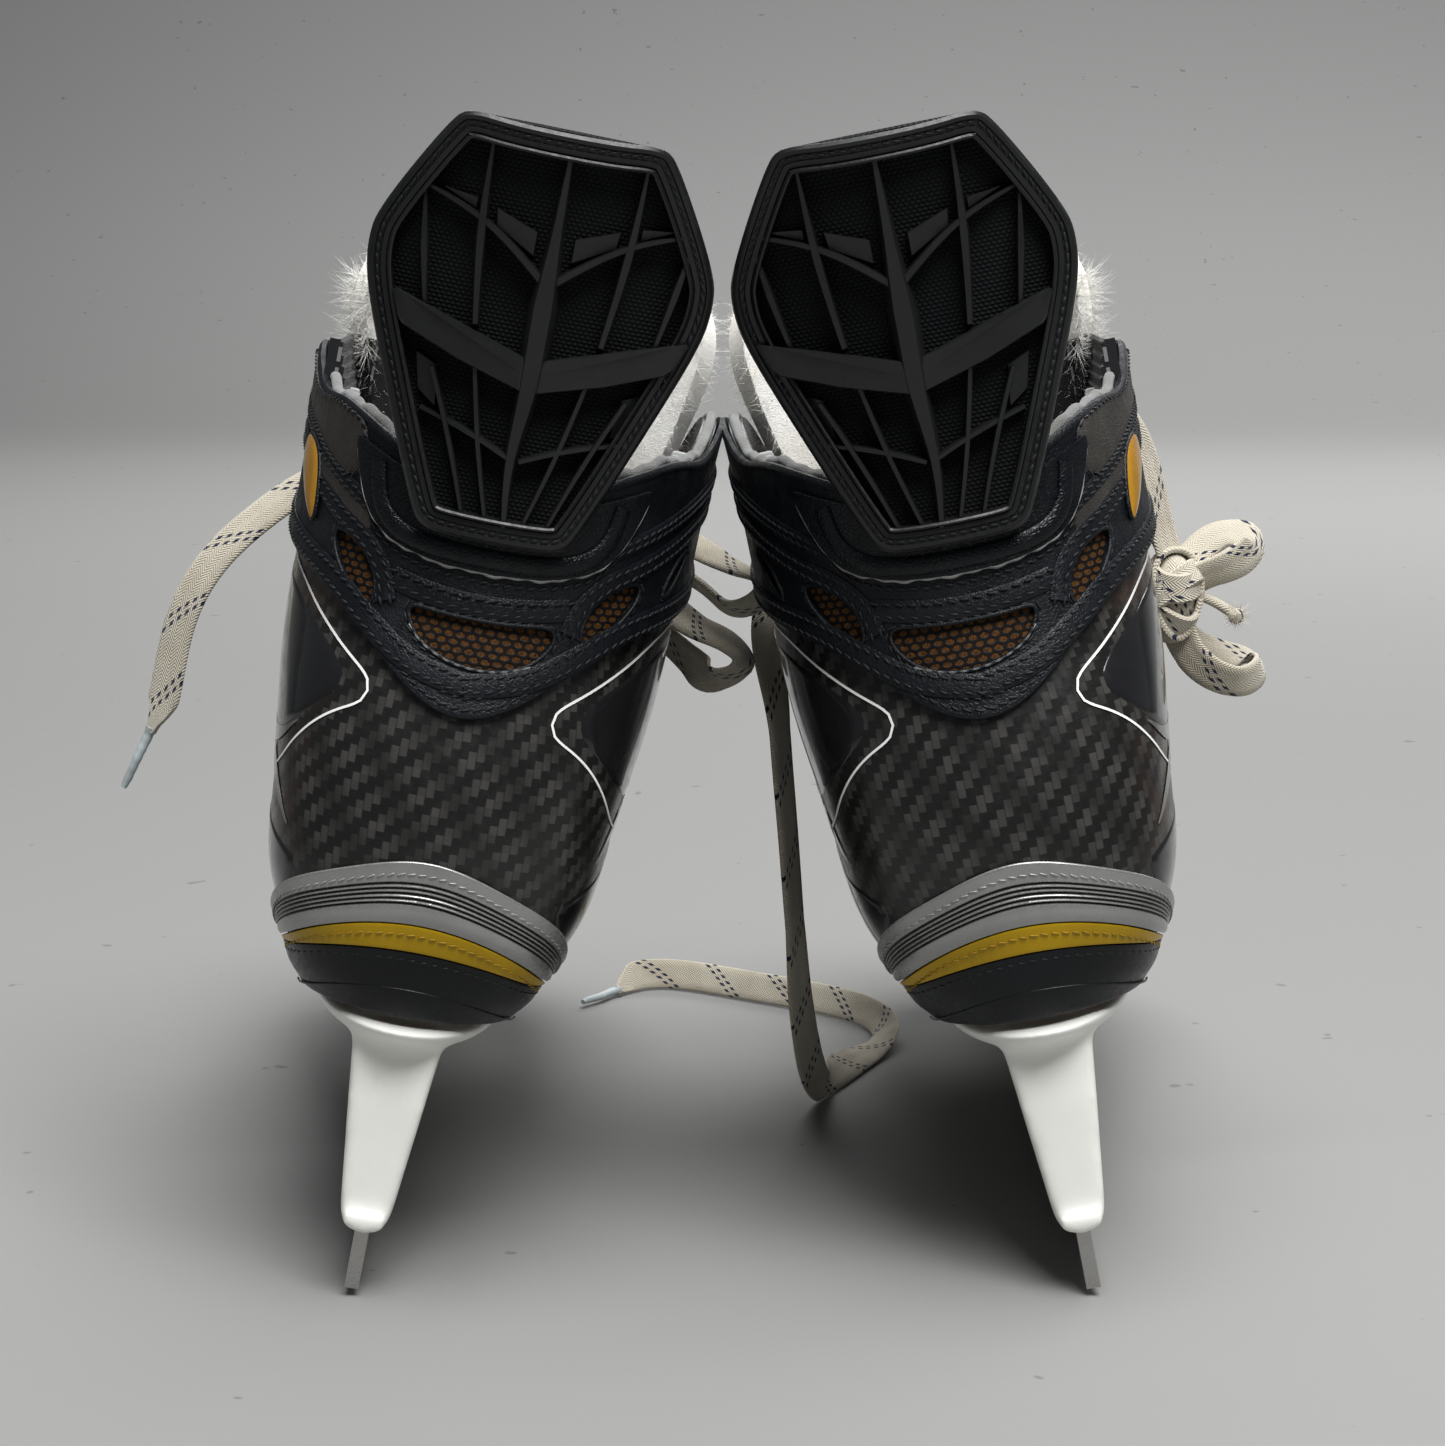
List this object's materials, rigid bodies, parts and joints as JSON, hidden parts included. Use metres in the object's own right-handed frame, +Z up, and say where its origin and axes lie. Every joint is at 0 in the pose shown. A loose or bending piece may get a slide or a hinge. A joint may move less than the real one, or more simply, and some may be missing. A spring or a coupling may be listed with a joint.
{
  "type": "pair of hockey skates",
  "caption": "Junior hockey skates, cuffs leaning together, with moulded boots, blade holders, flexing tendon guards, felt tongues and loose cotton laces.",
  "frame": {"origin": "on the ground, at the middle of the box that the two skates fill without their laces", "axes": "+X towards the right skate, +Y towards the toes, +Z up; YZ is the mirror plane between the skates"},
  "size_m": [0.2764, 0.2695, 0.2463],
  "materials": {
    "blade_steel": "ground steel with fine lengthwise scratches, faintly brown",
    "bolt_steel": "bright zinc-plated",
    "white_nylon": "white, satin, slightly scuffed",
    "black_outsole": "black, semi-matt, moulded",
    "gold_stripe": "mustard gold, semi-gloss",
    "silver_band": "satin silver-grey with black grooves",
    "carbon_print_shell": "dark grey twill pattern under a gloss coat",
    "black_toe_cap": "black, gloss, lightly scuffed",
    "black_leather": "black, pebbled, semi-matt",
    "grey_lining": "grey brushed microfibre",
    "footbed_foam": "dark grey foam with a cloth face",
    "white_felt": "off-white fuzzy felt",
    "label_cloth": "black woven label, blank",
    "black_rubber": "black, moulded, semi-matt",
    "black_mesh": "black open knit",
    "cotton_lace": "off-white cotton with navy tracer dashes",
    "aglet_plastic": "clear shrunk plastic over lace"
  },
  "bodies": {
    "skates": {"left_runner": "blade_steel", "left_blade_holder": "white_nylon", "left_front_runner_bolt": "bolt_steel", "left_rear_runner_bolt": "bolt_steel", "left_heel_outer_rivet": "bolt_steel", "left_heel_inner_rivet": "bolt_steel", "left_toe_outer_rivet": "bolt_steel", "left_toe_inner_rivet": "bolt_steel", "left_outsole": "black_outsole", "left_heel_stripe": "gold_stripe", "left_heel_band": "silver_band", "left_boot_shell": "carbon_print_shell", "left_toe_cap": "black_toe_cap", "left_collar": "black_leather", "left_guard_base": "black_leather", "left_outer_eyestay": "black_leather", "left_inner_eyestay": "black_leather", "left_ankle_liner": "grey_lining", "left_footbed": "footbed_foam", "left_tongue_body": "white_felt", "left_under_lace": "cotton_lace", "left_over_lace": "cotton_lace", "right_runner": "blade_steel", "right_blade_holder": "white_nylon", "right_front_runner_bolt": "bolt_steel", "right_rear_runner_bolt": "bolt_steel", "right_heel_outer_rivet": "bolt_steel", "right_heel_inner_rivet": "bolt_steel", "right_toe_outer_rivet": "bolt_steel", "right_toe_inner_rivet": "bolt_steel", "right_outsole": "black_outsole", "right_heel_stripe": "gold_stripe", "right_heel_band": "silver_band", "right_boot_shell": "carbon_print_shell", "right_toe_cap": "black_toe_cap", "right_collar": "black_leather", "right_guard_base": "black_leather", "right_outer_eyestay": "black_leather", "right_inner_eyestay": "black_leather", "right_ankle_liner": "grey_lining", "right_footbed": "footbed_foam", "right_tongue_body": "white_felt", "right_under_lace": "cotton_lace", "right_over_lace": "cotton_lace", "left_lace_bow": "cotton_lace", "left_lace_outer_end": "cotton_lace", "left_outer_aglet": "aglet_plastic", "left_lace_inner_end": "cotton_lace", "left_inner_aglet": "aglet_plastic", "right_lace_bow": "cotton_lace", "right_lace_inner_end": "cotton_lace", "right_inner_aglet": "aglet_plastic"},
    "left_guard": {"left_tendon_guard": "black_rubber", "left_guard_backing": "black_mesh"},
    "right_guard": {"right_tendon_guard": "black_rubber", "right_guard_backing": "black_mesh"},
    "left_tongue_flap": {"left_tongue_top": "white_felt", "left_tongue_label": "label_cloth"},
    "right_tongue_flap": {"right_tongue_top": "white_felt", "right_tongue_label": "label_cloth"}
  },
  "joints": [
    {"name": "left_tendon_guard_flex", "type": "hinge", "parent": "skates", "child": "left_guard", "pos_m": [-0.04689, -0.10746, 0.16013], "axis": [0.9797, 0.0428, -0.196], "range_deg": [0, 25], "stiffness_Nm_per_rad": 1.2},
    {"name": "left_tongue_flop", "type": "hinge", "parent": "skates", "child": "left_tongue_flap", "pos_m": [-0.04673, -0.00783, 0.18269], "axis": [-0.9797, -0.0428, 0.196], "range_deg": [0, 38], "stiffness_Nm_per_rad": 0.4},
    {"name": "right_tendon_guard_flex", "type": "hinge", "parent": "skates", "child": "right_guard", "pos_m": [0.04689, -0.10746, 0.16013], "axis": [0.9797, -0.0428, 0.196], "range_deg": [0, 25], "stiffness_Nm_per_rad": 1.2},
    {"name": "right_tongue_flop", "type": "hinge", "parent": "skates", "child": "right_tongue_flap", "pos_m": [0.04673, -0.00783, 0.18269], "axis": [-0.9797, 0.0428, -0.196], "range_deg": [0, 38], "stiffness_Nm_per_rad": 0.4}
  ]
}
